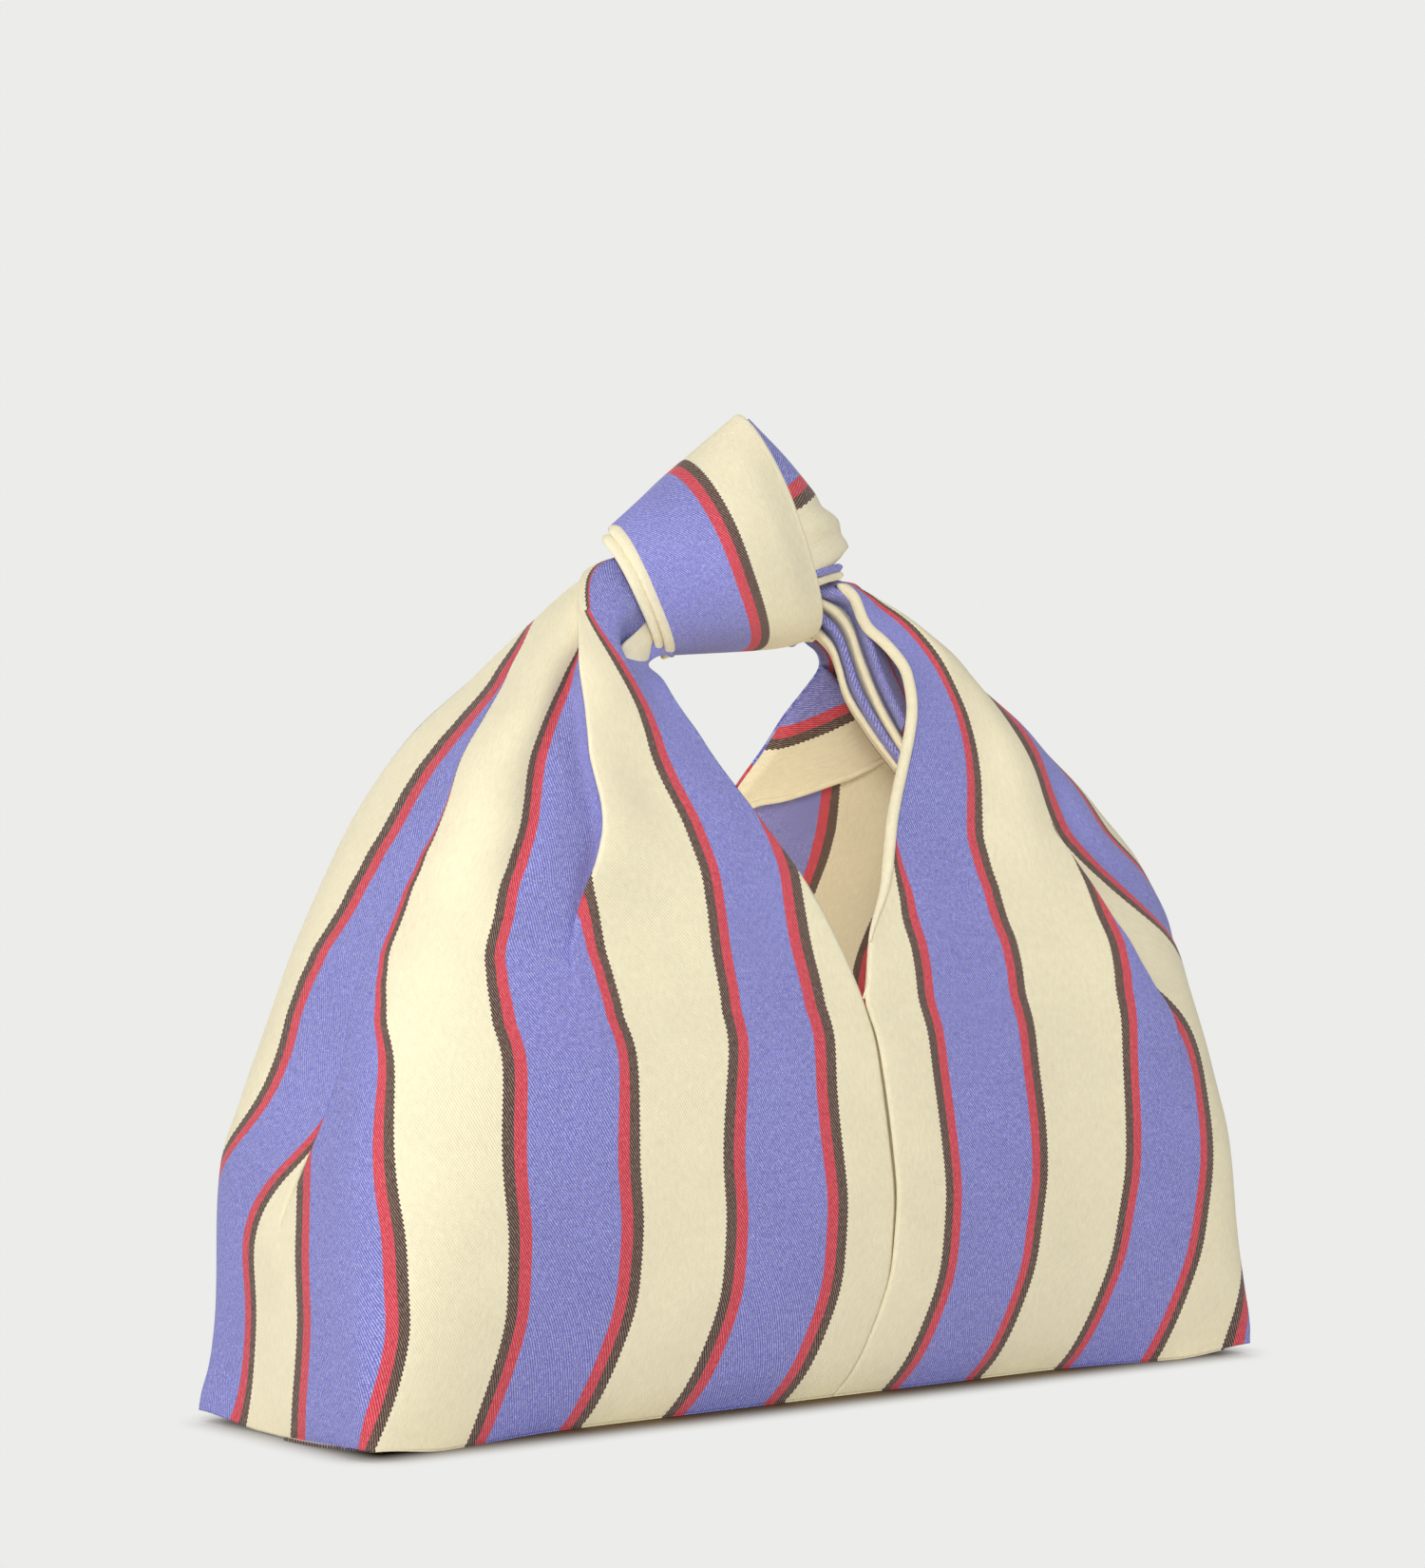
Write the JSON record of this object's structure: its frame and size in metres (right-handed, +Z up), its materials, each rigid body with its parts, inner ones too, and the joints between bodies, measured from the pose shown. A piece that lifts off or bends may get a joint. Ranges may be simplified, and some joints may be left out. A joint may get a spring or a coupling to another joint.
{
  "type": "japanese knot bag",
  "caption": "Soft knot bag of striped cotton twill: a boxed pouch with a V mouth front and back, whose gathered corners tie into a knotted carrying handle.",
  "frame": {"origin": "middle of the base, on the floor", "axes": "+X along the bag's length, -Y out of its front, +Z up towards the knot"},
  "size_m": [0.36, 0.122, 0.32],
  "materials": {
    "striped_twill": "cream cotton twill with periwinkle, raspberry and dark brown yarn-dyed stripes",
    "facing_twill": "turned-in edge of the same striped twill",
    "seam_cloth": "pressed seam allowance with cream sewing thread"
  },
  "bodies": {
    "pouch": {"left_panel_front": "striped_twill", "left_panel_end": "striped_twill", "left_panel_back": "striped_twill", "right_panel_front": "striped_twill", "right_panel_end": "striped_twill", "right_panel_back": "striped_twill", "left_base_front": "striped_twill", "left_base_back": "striped_twill", "right_base_front": "striped_twill", "right_base_back": "striped_twill", "front_centre_seam": "seam_cloth", "back_centre_seam": "seam_cloth", "bottom_seam": "seam_cloth", "left_corner_seam": "seam_cloth", "right_corner_seam": "seam_cloth", "front_left_facing": "facing_twill", "front_right_facing": "facing_twill", "back_left_facing": "facing_twill", "back_right_facing": "facing_twill", "left_neck": "striped_twill", "right_neck": "striped_twill"},
    "handle": {"left_strap": "striped_twill", "right_strap": "striped_twill", "knot_core": "striped_twill", "knot_wrap": "striped_twill"},
    "tail": {"knot_tail": "striped_twill"}
  },
  "joints": [
    {"name": "handle_tip", "type": "hinge", "parent": "pouch", "child": "handle", "pos_m": [0, 0, 0.223], "axis": [1, 0, 0], "range_deg": [-45, 45], "deforming": ["left_neck", "right_neck"]},
    {"name": "tail_pull", "type": "slide", "parent": "handle", "child": "tail", "axis": [0.9, 0, 0.4359], "range_m": [0, 0.012]}
  ]
}
